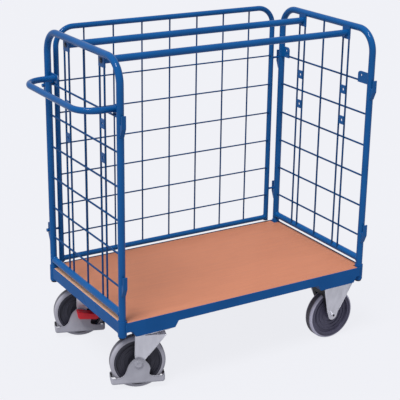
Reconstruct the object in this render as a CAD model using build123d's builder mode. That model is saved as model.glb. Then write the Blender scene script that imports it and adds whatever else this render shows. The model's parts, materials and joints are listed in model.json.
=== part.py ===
from build123d import *
import os

# Three-sided platform trolley, in millimetres
# The origin is on the floor under the middle of the deck. +X points away from the push handle,
# +Y points to the hung back wall and +Z points up.

os.makedirs("parts", exist_ok=True)

# Clearances shared by the whole trolley
slip = 0.05  # radial, of a bolt or bush in its hole
running = 0.08  # radial, of a part that turns on a pin
weld_gap = 0.05  # between two welded wires where they cross
rest_gap = 0.3  # under a part that only rests in its seat

# Platform: angle rails between corner sockets, round a board
clear_length = 1000.0  # between the end walls
end_reach = 24.0  # of the end rails beyond the clear length
deck_width = 600.0
board_thickness = 15.0
board_gap = 1.0
board_edge = 1.0
rim_lip = 1.0
rail_height = 35.0
end_rail_height = 43.0
rail_leg = 33.0
rail_sheet = 3.0
bearer_count = 5
bearer_width = 40.0
bearer_sheet = 2.0

# Pressed beams that carry the casters
beam_height = 23.0
beam_bottom_width = 154.0
beam_top_width = 182.0
left_beam_gap = 10.0  # from the end rail's leg, which the right beam butts against
beam_sheet = 4.0

# End walls: a bent hoop, a cross tube and a wire grid
tube_d = 25.0
tube_wall = 2.0
post_inset = 18.0
post_drop = 22.0
trolley_height = 1215.5
hoop_bend = 80.0
cross_tube_rise = 31.0
upright_d = 7.0
level_d = 7.0
level_count = 6
level_top_gap = 190.5
level_bottom_gap = 93.5
pair_spacing = 274.0
pair_width = 35.0

# Plates, lugs and hooks welded to the end walls
rail_plate_width = 42.0
rail_plate_drop = 51.0
rail_plate_thickness = 6.0
hole_plate_height = 32.0
hole_plate_rise = 6.5
hole_plate_thickness = 5.0
hole_plate_bore = 12.0
hole_plate_rows = 2
lug_reach = 44.0
lug_rise = 23.0
lug_above = 14.0
lug_below = 28.0
lug_end = 18.0
lug_thickness = 5.0
lug_corner = 12.0
hook_width = 16.0
hook_strap = 4.0
hook_above_pin = 28.0
hook_below_pin = 45.0
hook_slope = 30.0

# Corner sockets that take the posts, the posts' caps and screws
socket_d = 31.0
socket_lift = 4.0
socket_rise = 6.0
socket_gap = 1.0
rail_cope = 8.0
cap_thickness = 5.0
cap_plug = 16.0
cap_chamfer = 2.0
post_screw_d = 8.0
post_screw_head = 14.0
post_screw_head_height = 5.5
post_screw_length = 12.0

# Top rails between the end walls
top_rail_d = 25.0
top_rail_wall = 1.5
top_rail_drop = 29.0
top_rail_plug = 15.0
rail_bolt_d = 8.0
rail_bolt_head = 14.0
rail_bolt_head_height = 4.5

# Push handle
handle_d = 22.0
handle_wall = 2.0
handle_reach = 117.0
handle_bend = 75.0
handle_plug = 16.0
handle_bolt_d = 10.0
handle_bolt_head = 17.0
handle_bolt_head_height = 6.5

# Hung back wall
back_tube_d = 20.0
back_tube_wall = 1.5
back_inset = 40.5
back_bend = 70.0
back_tube_rise = 20.0
back_upright_d = 6.0
back_level_d = 5.5
back_upright_count = 7
back_upright_pitch = 119.8
back_level_top_gap = 194.0
back_level_bottom_gap = 102.5
back_cap_thickness = 3.0
pin_d = 8.0
pin_clear = 0.5
pin_head_d = 13.0
pin_head_length = 6.0
pin_head_gap = 3.0
upper_pin_rise = 706.0
lower_pin_rise = 146.0

# Casters
swivel_offset = 9.0  # along X, from the middle of the beam
fixed_offset = 12.0
caster_inset = 62.0
swivel_trail = 45.0
swivel_turn = -20.0  # degrees, as the casters stand in their rest position
plate_length = 132.0
plate_width = 110.0
plate_thickness = 5.0
plate_corner = 8.0
plate_bolts_x = 94.0
plate_bolts_y = 78.0
caster_bolt_d = 10.0
caster_bolt_hole = 11.0
caster_bolt_head = 18.0
caster_bolt_head_height = 6.0
caster_bolt_end = 4.0

# Wheels
wheel_d = 200.0
wheel_width = 40.0
tyre_depth = 14.0
tyre_shoulder = 11.0
rim_width = 36.0
rim_band = 7.0
web_width = 16.0
web_rib = 3.0
web_rib_height = 3.0
web_rib_count = 3
hub_d = 42.0
hub_length = 46.0
bush_wall = 5.0
axle_d = 12.0
axle_head_d = 19.0
axle_head_height = 6.0
axle_nut_height = 8.0

# Forks
fork_sheet = 4.0
fork_side_gap = 0.5
wheel_room = 10.0
fork_arch_room = 6.0
fixed_fork_length = 128.0
fixed_fork_top = 108.0
fixed_fork_tip = 20.0
fixed_leg_rise = 14.0
swivel_fork_back = 57.0
swivel_fork_front = 52.0
swivel_fork_top = 84.0
swivel_fork_tip = 12.5
swivel_leg_rise = 28.0
race_height = 16.0
race_d = 76.0
race_bore = 24.0
race_round = 5.0
king_pin_d = 16.0
king_nut_d = 26.0
king_nut_height = 7.0

# Foot guards
guard_sheet = 3.0
guard_back_room = 13.0
guard_front_room = 11.0
guard_ground = 20.0
guard_skirt = 27.0
guard_flare = 77.0
guard_waist = 41.0
guard_waist_rise = 31.0
guard_neck = 31.5
guard_neck_rise = 1.0
guard_rise = 23.0
guard_corner = 9.0
guard_heel = 10.0
bumper_width = 26.0
bumper_length = 7.0
bumper_height = 5.0
bumper_round = 1.5

# Brake pedals
pedal_gap = 0.8
pedal_width = 28.0
pedal_boss = 12.0
pedal_edge = 4.0
pedal_heel = 11.0
pedal_heel_rise = 16.5
pedal_tip = 11.0
pedal_reach = 58.0
pedal_droop = 5.0
pedal_round = 3.0
pedal_cover = 4.0
pedal_nut_height = 5.0
pedal_nut_room = 0.5

# Heights, from the floor up
wheel_r = wheel_d / 2
crown_top = wheel_d + wheel_room + fork_sheet
plate_bottom = crown_top + race_height
caster_height = plate_bottom + plate_thickness
rail_bottom = caster_height + beam_height
rail_top = rail_bottom + rail_height
deck_height = rail_top - rim_lip
wall_top = trolley_height - tube_d / 2
post_bottom = rail_bottom - post_drop
cross_tube_z = deck_height + cross_tube_rise
back_tube_z = deck_height + back_tube_rise
top_rail_z = wall_top - top_rail_drop
level_top = wall_top - level_top_gap
level_pitch = (level_top - cross_tube_z - level_bottom_gap) / (level_count - 1)
lug_z = level_top + lug_rise
pin_heights = (deck_height + lower_pin_rise, deck_height + upper_pin_rise)

# Places in plan
tube_r = tube_d / 2
socket_r = socket_d / 2
end_x = clear_length / 2 + end_reach
post_x = clear_length / 2 + tube_r
post_y = deck_width / 2 - post_inset
pair_y = pair_spacing / 2
lug_y = post_y - lug_reach
upright_x = post_x - tube_r + upright_d / 2
level_x = upright_x + (upright_d + level_d) / 2 + weld_gap
lug_x = level_x - (level_d + lug_thickness) / 2 - weld_gap
back_r = back_tube_d / 2
back_x = post_x - back_inset
pin_r = pin_d / 2
back_y = post_y + tube_r + pin_clear + pin_r
leg_x = end_x - rail_leg
left_beam_x = beam_top_width / 2 + left_beam_gap - leg_x
right_beam_x = leg_x - beam_top_width / 2
swivel_x = left_beam_x + swivel_offset
fixed_x = right_beam_x + fixed_offset
caster_y = deck_width / 2 - caster_inset
fork_inner = hub_length / 2 + fork_side_gap
fork_outer = fork_inner + fork_sheet
guard_outer = fork_outer + guard_sheet
rail_end_x = upright_x - rail_plate_thickness / 2


def save(piece, name):
    """Label a finished piece and write it to its own file."""
    piece.label = name
    export_step(piece, f"parts/{name}.step")


def bent_tube(points, bend, outer_r, inner_r=0.0):
    """Round tube along straight runs joined by bends, or a bar where it has no bore."""
    with BuildPart() as piece:
        with BuildLine() as route:
            FilletPolyline(*points, radius=bend)
        with BuildSketch(Plane(origin=route.line @ 0, z_dir=route.line % 0)):
            Circle(outer_r)
            if inner_r:
                Circle(inner_r, mode=Mode.SUBTRACT)
        sweep(path=route.line)
    return piece.part


def straight_tube(start, end, outer_r, inner_r=0.0):
    """Straight round tube between two points, or a bar where it has no bore."""
    run = Vector(*end) - Vector(*start)
    with BuildPart() as piece:
        with BuildSketch(Plane(origin=start, z_dir=run.normalized())):
            Circle(outer_r)
            if inner_r:
                Circle(inner_r, mode=Mode.SUBTRACT)
        extrude(amount=run.length)
    return piece.part


def bolt(head_d, head_height, shank_d, shank_length):
    """Hexagon bolt along +Z, with its head's seat at the origin."""
    with BuildPart() as piece:
        with BuildSketch():
            RegularPolygon(head_d / 2, 6)
        extrude(amount=-head_height)
        with BuildSketch():
            Circle(shank_d / 2)
        extrude(amount=shank_length)
    return piece.part


def nut(across, height, bore_d):
    """Hexagon nut along +Z, standing on the origin."""
    with BuildPart() as piece:
        with BuildSketch():
            RegularPolygon(across / 2, 6)
            Circle(bore_d / 2 + slip, mode=Mode.SUBTRACT)
        extrude(amount=height)
    return piece.part


def facing(origin, direction):
    """Place of a piece whose own +Z points along the direction."""
    return Plane(origin=origin, z_dir=direction).location


# Corner sockets, welded to the rails, with a screw hole in the side under the board
board_bottom = deck_height - board_thickness
leg_top = rail_bottom + rail_sheet
post_screw_z = (leg_top + board_bottom) / 2
socket_bottom = post_bottom + socket_lift
socket_height = rail_top + socket_rise - socket_bottom
with BuildPart() as socket_bars:
    with BuildSketch(Plane.XY.offset(socket_bottom)):
        with GridLocations(2 * post_x, 2 * post_y, 2, 2):
            Circle(socket_r)
    extrude(amount=socket_height)

with BuildPart() as screw_holes:
    with BuildSketch(Plane.YZ):
        with Locations((post_y, post_screw_z), (-post_y, post_screw_z)):
            Circle(post_screw_d / 2 + slip)
    extrude(amount=post_x, both=True)

with BuildPart() as corner_sockets:
    add(socket_bars.part)
    with BuildSketch(Plane.XY.offset(socket_bottom)):
        with GridLocations(2 * post_x, 2 * post_y, 2, 2):
            Circle(tube_r + slip)
    extrude(amount=socket_height, mode=Mode.SUBTRACT)
    add(screw_holes.part, mode=Mode.SUBTRACT)
save(corner_sockets.part, "corner_sockets")


# Platform rails, coped to the sockets
def angle_rail(run, out, bottom):
    """Angle rail along X, its web's outer face at y = -out."""
    with BuildPart() as rail:
        with BuildSketch(Plane.YZ):
            with BuildLine():
                Polyline(
                    (-out, bottom),
                    (-out + rail_leg, bottom),
                    (-out + rail_leg, bottom + rail_sheet),
                    (-out + rail_sheet, bottom + rail_sheet),
                    (-out + rail_sheet, rail_top),
                    (-out, rail_top),
                    close=True,
                )
            make_face()
        extrude(amount=run / 2, both=True)
    return rail.part


long_rail = angle_rail(2 * post_x - 2 * rail_cope, deck_width / 2, rail_bottom)
end_rail = angle_rail(2 * post_y - 2 * rail_cope, end_x, rail_top - end_rail_height)
rails = {
    "front_rail": long_rail,
    "rear_rail": long_rail.rotate(Axis.Z, 180),
    "left_end_rail": end_rail.rotate(Axis.Z, -90),
    "right_end_rail": end_rail.rotate(Axis.Z, 90),
}
for name, rail in rails.items():
    with BuildPart() as coped_rail:
        add(rail)
        add(socket_bars.part, mode=Mode.SUBTRACT)
    save(coped_rail.part, name)

# Board, let into the rails, with its corners cut away round the sockets
board_margin = rail_sheet + board_gap
board_length = 2 * (end_x - board_margin)
board_width = deck_width - 2 * board_margin
notch_x = 2 * (board_length / 2 - post_x + socket_r + socket_gap)
notch_y = 2 * (board_width / 2 - post_y + socket_r + socket_gap)
with BuildPart() as deck_board:
    with BuildSketch(Plane.XY.offset(board_bottom)):
        Rectangle(board_length, board_width)
        with GridLocations(board_length, board_width, 2, 2):
            Rectangle(notch_x, notch_y, mode=Mode.SUBTRACT)
    extrude(amount=board_thickness)
    chamfer(deck_board.faces().sort_by(Axis.Z)[-1].edges(), board_edge)
save(deck_board.part, "deck_board")

# Bearers that carry the board from rail to rail
bearer_height = board_bottom - leg_top
with BuildPart() as deck_bearers:
    with BuildSketch(Plane.XZ):
        with Locations((0, leg_top + bearer_height / 2)):
            with GridLocations(board_length / bearer_count, 1, bearer_count, 1):
                Rectangle(bearer_width, bearer_height)
                Rectangle(
                    bearer_width - 2 * bearer_sheet,
                    bearer_height - 2 * bearer_sheet,
                    mode=Mode.SUBTRACT,
                )
    extrude(amount=board_width / 2, both=True)
save(deck_bearers.part, "deck_bearers")


# Pressed trays under the rails, one at each end, with the threads of the caster bolts
def caster_beam(x, caster_x):
    """Tray with sloping long sides, open at the top, from the front face to the rear face."""
    with BuildPart() as beam:
        with BuildSketch(Plane.XZ):
            with BuildLine():
                Polyline(
                    (x - beam_top_width / 2, rail_bottom),
                    (x - beam_bottom_width / 2, caster_height),
                    (x + beam_bottom_width / 2, caster_height),
                    (x + beam_top_width / 2, rail_bottom),
                    close=True,
                )
            make_face()
        extrude(amount=deck_width / 2, both=True)
        with BuildSketch(Plane.XZ):
            with BuildLine():
                Polyline(
                    (x - beam_top_width / 2 + beam_sheet, rail_bottom),
                    (x - beam_bottom_width / 2 + beam_sheet, caster_height + beam_sheet),
                    (x + beam_bottom_width / 2 - beam_sheet, caster_height + beam_sheet),
                    (x + beam_top_width / 2 - beam_sheet, rail_bottom),
                    close=True,
                )
            make_face()
        extrude(amount=deck_width / 2 - beam_sheet, both=True, mode=Mode.SUBTRACT)
        with BuildSketch(Plane.XY.offset(caster_height)):
            with Locations((caster_x, caster_y), (caster_x, -caster_y)):
                with GridLocations(plate_bolts_x, plate_bolts_y, 2, 2):
                    Circle(caster_bolt_d / 2 + slip)
        extrude(amount=beam_sheet, mode=Mode.SUBTRACT)
    return beam.part


save(caster_beam(left_beam_x, swivel_x), "left_caster_beam")
save(caster_beam(right_beam_x, fixed_x), "right_caster_beam")

# End wall hoops: both posts and the top in one bent tube
hoop_points = [
    (post_x, -post_y, post_bottom),
    (post_x, -post_y, wall_top),
    (post_x, post_y, wall_top),
    (post_x, post_y, post_bottom),
]
hoop_tube = bent_tube(hoop_points, hoop_bend, tube_r, tube_r - tube_wall)
hoop_bar = bent_tube(hoop_points, hoop_bend, tube_r)
with BuildPart() as right_hoop:
    add(hoop_tube)
    add(screw_holes.part, mode=Mode.SUBTRACT)
save(right_hoop.part, "right_hoop")
save(mirror(right_hoop.part, about=Plane.YZ), "left_hoop")

# Lower cross tubes, coped to the posts
cross_ends = ((post_x, -post_y, cross_tube_z), (post_x, post_y, cross_tube_z))
cross_tube = straight_tube(*cross_ends, tube_r, tube_r - tube_wall)
cross_bar = straight_tube(*cross_ends, tube_r)
with BuildPart() as cross_tubes:
    add(cross_tube)
    add(hoop_bar, mode=Mode.SUBTRACT)
    mirror(about=Plane.YZ)
save(cross_tubes.part, "cross_tubes")

# End wall grids: uprights as a pair, one and a pair, flush with the tubes' inner sides, and level
# wires across their outer side
rail_plate_bottom = wall_top - rail_plate_drop
pair_wires = [side * pair_y + half * pair_width / 2 for side in (-1, 1) for half in (-1, 1)]
level_heights = [level_top - row * level_pitch for row in range(level_count)]
grid_wires = [straight_tube((upright_x, 0, cross_tube_z), (upright_x, 0, wall_top), upright_d / 2)]
for y in pair_wires:
    foot = (upright_x, y, cross_tube_z)
    grid_wires.append(straight_tube(foot, (upright_x, y, rail_plate_bottom), upright_d / 2))
for z in level_heights:
    grid_wires.append(straight_tube((level_x, -post_y, z), (level_x, post_y, z), level_d / 2))
with BuildPart() as right_grid:
    add(grid_wires)
    add(hoop_bar, mode=Mode.SUBTRACT)
    add(cross_bar, mode=Mode.SUBTRACT)
save(right_grid.part, "right_grid")
save(mirror(right_grid.part, about=Plane.YZ), "left_grid")

# Plates under the hoops' tops, which close the paired wires and take the ends of the top rails
with BuildPart() as rail_plates:
    with BuildSketch(Plane.YZ.offset(rail_end_x)):
        with Locations((pair_y, wall_top - rail_plate_drop / 2), (-pair_y, wall_top - rail_plate_drop / 2)):
            Rectangle(rail_plate_width, rail_plate_drop)
        with Locations((pair_y, top_rail_z), (-pair_y, top_rail_z)):
            Circle(rail_bolt_d / 2 + slip, mode=Mode.SUBTRACT)
    extrude(amount=rail_plate_thickness)
    add(hoop_bar, mode=Mode.SUBTRACT)
    mirror(about=Plane.YZ)
save(rail_plates.part, "rail_plates")

# Plates with a round hole between the paired wires, in the gaps of the upper level wires
hole_plate_width = pair_width - upright_d - 2 * weld_gap
with BuildPart() as hole_plates:
    with BuildSketch(Plane.YZ.offset(upright_x - hole_plate_thickness / 2)):
        for row in range(hole_plate_rows):
            middle = level_top - (row + 0.5) * level_pitch + hole_plate_rise
            with Locations((pair_y, middle), (-pair_y, middle)):
                Rectangle(hole_plate_width, hole_plate_height)
                Circle(hole_plate_bore / 2, mode=Mode.SUBTRACT)
    extrude(amount=hole_plate_thickness)
    mirror(about=Plane.YZ)
save(hole_plates.part, "hole_plates")

# Eyelet lugs on the inner sides of the posts, round at the upper free corner
with BuildPart() as eye_lugs:
    with BuildSketch(Plane.YZ.offset(lug_x - lug_thickness / 2)):
        with Locations(((lug_y - lug_end + post_y) / 2, lug_z + (lug_above - lug_below) / 2)):
            lug_face = Rectangle(post_y - lug_y + lug_end, lug_above + lug_below)
        fillet(lug_face.vertices().group_by(Axis.X)[0].sort_by(Axis.Y)[-1], lug_corner)
        with Locations((lug_y, lug_z)):
            Circle(handle_bolt_d / 2 + slip, mode=Mode.SUBTRACT)
    extrude(amount=lug_thickness)
    add(hoop_bar, mode=Mode.SUBTRACT)
    mirror(about=Plane.XZ)
    mirror(about=Plane.YZ)
save(eye_lugs.part, "eye_lugs")

# Hooks on the outer faces of the posts, with a slot that takes a pin from above
slot_r = pin_r + pin_clear
hook_out = back_y + slot_r + hook_strap
with BuildPart() as wall_hooks:
    for pin_z in pin_heights:
        slot_z = pin_z + slot_r - pin_r - rest_gap
        with BuildSketch(Plane.YZ.offset(post_x)):
            with BuildLine():
                Polyline(
                    (post_y, pin_z - hook_below_pin),
                    (post_y + tube_r, pin_z - hook_below_pin),
                    (hook_out, pin_z - hook_below_pin + hook_slope),
                    (hook_out, pin_z + hook_above_pin),
                    (post_y, pin_z + hook_above_pin),
                    close=True,
                )
            make_face()
            slot_width = back_y + slot_r - post_y
            slot_depth = pin_z + hook_above_pin - slot_z
            with Locations((post_y + slot_width / 2, slot_z + slot_depth / 2)):
                Rectangle(slot_width, slot_depth, mode=Mode.SUBTRACT)
            with Locations((back_y, slot_z)):
                Circle(slot_r, mode=Mode.SUBTRACT)
        extrude(amount=hook_width / 2, both=True)
    add(hoop_bar, mode=Mode.SUBTRACT)
    mirror(about=Plane.XZ)
    mirror(about=Plane.YZ)
save(wall_hooks.part, "wall_hooks")

# Plastic caps in the lower ends of the posts
with BuildPart() as post_caps:
    with BuildSketch(Plane.XY.offset(post_bottom)):
        with GridLocations(2 * post_x, 2 * post_y, 2, 2):
            Circle(tube_r)
    extrude(amount=-cap_thickness)
    chamfer(post_caps.edges().group_by(Axis.Z)[0], cap_chamfer)
    with BuildSketch(Plane.XY.offset(post_bottom)):
        with GridLocations(2 * post_x, 2 * post_y, 2, 2):
            Circle(tube_r - tube_wall - slip)
    extrude(amount=cap_plug)
save(post_caps.part, "post_caps")

# Screws that hold the posts in their sockets, from the inner side under the board
post_screw = bolt(post_screw_head, post_screw_head_height, post_screw_d, post_screw_length)
with BuildPart() as post_screws:
    for y in (-post_y, post_y):
        add(post_screw.moved(facing((post_x - socket_r, y, post_screw_z), (1, 0, 0))))
    mirror(about=Plane.YZ)
save(post_screws.part, "post_screws")

# Top rails: tubes with a threaded plug in each end
top_rail_r = top_rail_d / 2
rail_body = straight_tube((-rail_end_x, -pair_y, top_rail_z), (rail_end_x, -pair_y, top_rail_z), top_rail_r)
bore_end_x = rail_end_x - top_rail_plug
rail_bore = straight_tube(
    (-bore_end_x, -pair_y, top_rail_z), (bore_end_x, -pair_y, top_rail_z), top_rail_r - top_rail_wall
)
with BuildPart() as front_top_rail:
    add(rail_body)
    add(rail_bore, mode=Mode.SUBTRACT)
    with BuildSketch(Plane.YZ):
        with Locations((-pair_y, top_rail_z)):
            Circle(rail_bolt_d / 2 + slip)
    extrude(amount=rail_end_x, both=True, mode=Mode.SUBTRACT)
save(front_top_rail.part, "front_top_rail")
save(mirror(front_top_rail.part, about=Plane.XZ), "rear_top_rail")

# Bolts through the plates into the top rails
rail_bolt = bolt(rail_bolt_head, rail_bolt_head_height, rail_bolt_d, rail_plate_thickness + top_rail_plug)
with BuildPart() as rail_bolts:
    for y in (-pair_y, pair_y):
        add(rail_bolt.moved(facing((rail_end_x + rail_plate_thickness, y, top_rail_z), (-1, 0, 0))))
    mirror(about=Plane.YZ)
save(rail_bolts.part, "rail_bolts")

# Push handle: a bow of tube on the left wall's lugs, with a threaded plug in each end
handle_r = handle_d / 2
handle_end_x = -lug_x - lug_thickness / 2
handle_bar_x = -post_x - handle_reach


def handle_route(mouth_x):
    """Route of the handle from the front lug round to the rear lug."""
    return [
        (mouth_x, -lug_y, lug_z),
        (handle_bar_x, -lug_y, lug_z),
        (handle_bar_x, lug_y, lug_z),
        (mouth_x, lug_y, lug_z),
    ]


handle_body = bent_tube(handle_route(handle_end_x), handle_bend, handle_r)
handle_bore = bent_tube(handle_route(handle_end_x - handle_plug), handle_bend, handle_r - handle_wall)
with BuildPart() as push_handle:
    add(handle_body)
    add(handle_bore, mode=Mode.SUBTRACT)
    with BuildSketch(Plane.YZ.offset(handle_end_x)):
        with Locations((-lug_y, lug_z), (lug_y, lug_z)):
            Circle(handle_bolt_d / 2 + slip)
    extrude(amount=-handle_plug, mode=Mode.SUBTRACT)
save(push_handle.part, "push_handle")

# Bolts through the left lugs into the handle
handle_bolt = bolt(handle_bolt_head, handle_bolt_head_height, handle_bolt_d, lug_thickness + handle_plug)
with BuildPart() as handle_bolts:
    for y in (-lug_y, lug_y):
        add(handle_bolt.moved(facing((handle_end_x + lug_thickness, y, lug_z), (-1, 0, 0))))
save(handle_bolts.part, "handle_bolts")

# Back wall hoop
back_bottom = back_tube_z - back_r
back_points = [
    (-back_x, back_y, back_bottom),
    (-back_x, back_y, wall_top),
    (back_x, back_y, wall_top),
    (back_x, back_y, back_bottom),
]
back_hoop = bent_tube(back_points, back_bend, back_r, back_r - back_tube_wall)
back_bar = bent_tube(back_points, back_bend, back_r)
save(back_hoop, "back_hoop")

# Back wall bottom tube, coped to the posts
back_ends = ((-back_x, back_y, back_tube_z), (back_x, back_y, back_tube_z))
bottom_tube = straight_tube(*back_ends, back_r, back_r - back_tube_wall)
bottom_bar = straight_tube(*back_ends, back_r)
with BuildPart() as back_bottom_tube:
    add(bottom_tube)
    add(back_bar, mode=Mode.SUBTRACT)
save(back_bottom_tube.part, "back_bottom_tube")

# Back wall grid, its level wires on the load side of the uprights
back_level_y = back_y - (back_upright_d + back_level_d) / 2 - weld_gap
back_level_top = wall_top - back_level_top_gap
back_level_pitch = (back_level_top - back_tube_z - back_level_bottom_gap) / (level_count - 1)
back_wires = []
for column in range(back_upright_count):
    x = (column - (back_upright_count - 1) / 2) * back_upright_pitch
    back_wires.append(straight_tube((x, back_y, back_tube_z), (x, back_y, wall_top), back_upright_d / 2))
for row in range(level_count):
    z = back_level_top - row * back_level_pitch
    back_wires.append(straight_tube((-back_x, back_level_y, z), (back_x, back_level_y, z), back_level_d / 2))
with BuildPart() as back_grid:
    add(back_wires)
    add(back_bar, mode=Mode.SUBTRACT)
    add(bottom_bar, mode=Mode.SUBTRACT)
save(back_grid.part, "back_grid")

# Headed pins that hang the back wall in the rear hooks
head_start_x = post_x + hook_width / 2 + pin_head_gap
head_end_x = head_start_x + pin_head_length
pin_pieces = []
for pin_z in pin_heights:
    pin_pieces.append(straight_tube((back_x, back_y, pin_z), (head_start_x, back_y, pin_z), pin_r))
    pin_pieces.append(straight_tube((head_start_x, back_y, pin_z), (head_end_x, back_y, pin_z), pin_head_d / 2))
with BuildPart() as back_pins:
    add(pin_pieces)
    add(back_bar, mode=Mode.SUBTRACT)
    mirror(about=Plane.YZ)
save(back_pins.part, "back_pins")

# Caps in the lower ends of the back wall's posts
with BuildPart() as back_caps:
    with BuildSketch(Plane.XY.offset(back_bottom)):
        with Locations((-back_x, back_y), (back_x, back_y)):
            Circle(back_r)
    extrude(amount=-back_cap_thickness)
    with BuildSketch(Plane.XY.offset(back_bottom)):
        with Locations((-back_x, back_y), (back_x, back_y)):
            Circle(back_r - back_tube_wall - slip)
    extrude(amount=cap_plug)
save(back_caps.part, "back_caps")

# Wheel, turned about Y: grey tyre, dark rim with round ribs on its web, bush in the hub
seat_r = wheel_r - tyre_depth
hub_r = hub_d / 2
bush_r = axle_d / 2 + running + bush_wall
web_outer = seat_r - rim_band
rib_pitch = (web_outer - hub_r) / (web_rib_count + 1)
with BuildPart() as tyre:
    with BuildSketch() as tyre_section:
        with Locations((seat_r + tyre_depth / 2, 0)):
            Rectangle(tyre_depth, wheel_width)
        fillet(tyre_section.vertices().group_by(Axis.X)[-1], tyre_shoulder)
    revolve(axis=Axis.Y)

with BuildPart() as rim:
    with BuildSketch():
        with Locations(((bush_r + hub_r) / 2, 0)):
            Rectangle(hub_r - bush_r, hub_length)
        with Locations(((hub_r + seat_r) / 2, 0)):
            Rectangle(seat_r - hub_r, web_width)
        with Locations((seat_r - rim_band / 2, 0)):
            Rectangle(rim_band, rim_width)
        for ring in range(web_rib_count):
            with Locations((hub_r + (ring + 1) * rib_pitch, 0)):
                Rectangle(web_rib, web_width + 2 * web_rib_height)
    revolve(axis=Axis.Y)

with BuildPart() as bush:
    with BuildSketch(Plane.XZ):
        Circle(bush_r)
        Circle(axle_d / 2 + running, mode=Mode.SUBTRACT)
    extrude(amount=hub_length / 2, both=True)


# Pressed forks
def fork_block(back, front, top, half_top, axle_x, tip_r, bend_z, half_foot):
    """Block between a fork's side outline, round at the axle, and its end outline, wide at the top."""
    reach = wheel_d
    with BuildPart() as block:
        with BuildSketch(Plane.XZ):
            with BuildLine():
                Line((back, top), (front, top))
                CenterArc((axle_x, wheel_r), tip_r, 0, 360)
            make_hull()
        extrude(amount=reach, both=True)
        with BuildSketch(Plane.YZ):
            with BuildLine():
                Polyline(
                    (-half_foot, 0),
                    (half_foot, 0),
                    (half_foot, bend_z),
                    (half_top, top),
                    (-half_top, top),
                    (-half_foot, bend_z),
                    close=True,
                )
            make_face()
        extrude(amount=reach, both=True, mode=Mode.INTERSECT)
    return block.part


def wheel_arch(axle_x):
    """Space round a wheel, as wide as the fork is inside."""
    with BuildPart() as arch:
        with BuildSketch(Plane.XZ):
            with Locations((axle_x, wheel_r)):
                Circle(wheel_r + fork_arch_room)
        extrude(amount=fork_inner, both=True)
    return arch.part


def caster_plate():
    """Top plate with four bolt holes."""
    with BuildPart() as plate:
        with BuildSketch(Plane.XY.offset(plate_bottom)):
            RectangleRounded(plate_length, plate_width, plate_corner)
            with GridLocations(plate_bolts_x, plate_bolts_y, 2, 2):
                Circle(caster_bolt_hole / 2, mode=Mode.SUBTRACT)
        extrude(amount=plate_thickness)
    return plate.part


fixed_half = fixed_fork_length / 2
fixed_bend = wheel_r + fixed_leg_rise
fixed_outside = fork_block(
    -fixed_half, fixed_half, plate_bottom, fixed_fork_top / 2, 0, fixed_fork_tip, fixed_bend, fork_outer
)
fixed_inside = fork_block(
    fork_sheet - fixed_half,
    fixed_half - fork_sheet,
    plate_bottom,
    fixed_fork_top / 2 - fork_sheet,
    0,
    fixed_fork_tip - fork_sheet,
    fixed_bend,
    fork_inner,
)
fixed_arch = wheel_arch(0)
top_plate = caster_plate()
with BuildPart() as fixed_fork:
    add(fixed_outside)
    add(fixed_inside, mode=Mode.SUBTRACT)
    add(fixed_arch, mode=Mode.SUBTRACT)
    add(top_plate)
    with BuildSketch(Plane.XZ):
        with Locations((0, wheel_r)):
            Circle(axle_d / 2 + slip)
    extrude(amount=wheel_d, both=True, mode=Mode.SUBTRACT)

swivel_outside = fork_block(
    -swivel_fork_back,
    swivel_fork_front,
    crown_top,
    swivel_fork_top / 2,
    -swivel_trail,
    swivel_fork_tip,
    wheel_r + swivel_leg_rise,
    fork_outer,
)
swivel_inside = fork_block(
    fork_sheet - swivel_fork_back,
    swivel_fork_front - fork_sheet,
    crown_top - fork_sheet,
    swivel_fork_top / 2 - fork_sheet,
    -swivel_trail,
    swivel_fork_tip - fork_sheet,
    wheel_r + swivel_leg_rise,
    fork_inner,
)
swivel_arch = wheel_arch(-swivel_trail)
with BuildPart() as swivel_fork:
    add(swivel_outside)
    add(swivel_inside, mode=Mode.SUBTRACT)
    add(swivel_arch, mode=Mode.SUBTRACT)
    with BuildSketch(Plane.XZ):
        with Locations((-swivel_trail, wheel_r)):
            Circle(axle_d / 2 + slip)
    extrude(amount=wheel_d, both=True, mode=Mode.SUBTRACT)
    with BuildSketch(Plane.XY.offset(crown_top)):
        Circle(king_pin_d / 2 + running)
    extrude(amount=-fork_sheet, mode=Mode.SUBTRACT)

# Swivel head: plate, race above the fork's crown, king pin through both
with BuildPart() as swivel_plate:
    add(top_plate)
    with BuildSketch(Plane.XY.offset(plate_bottom)):
        Circle(king_pin_d / 2 + slip)
    extrude(amount=plate_thickness, mode=Mode.SUBTRACT)

with BuildPart() as swivel_race:
    with BuildSketch(Plane.XY.offset(crown_top + rest_gap)):
        Circle(race_d / 2)
        Circle(race_bore / 2, mode=Mode.SUBTRACT)
    extrude(amount=race_height - rest_gap)
    outer_edges = swivel_race.edges().filter_by(GeomType.CIRCLE).sort_by(SortBy.RADIUS)[-2:]
    fillet(outer_edges.sort_by(Axis.Z)[0], race_round)

with BuildPart() as king_pin:
    with BuildSketch(Plane.XY.offset(caster_height)):
        Circle(king_pin_d / 2)
    extrude(amount=crown_top - fork_sheet - rest_gap - caster_height)
    with BuildSketch(Plane.XY.offset(crown_top - fork_sheet - rest_gap)):
        RegularPolygon(king_nut_d / 2, 6)
    extrude(amount=-king_nut_height)

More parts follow.
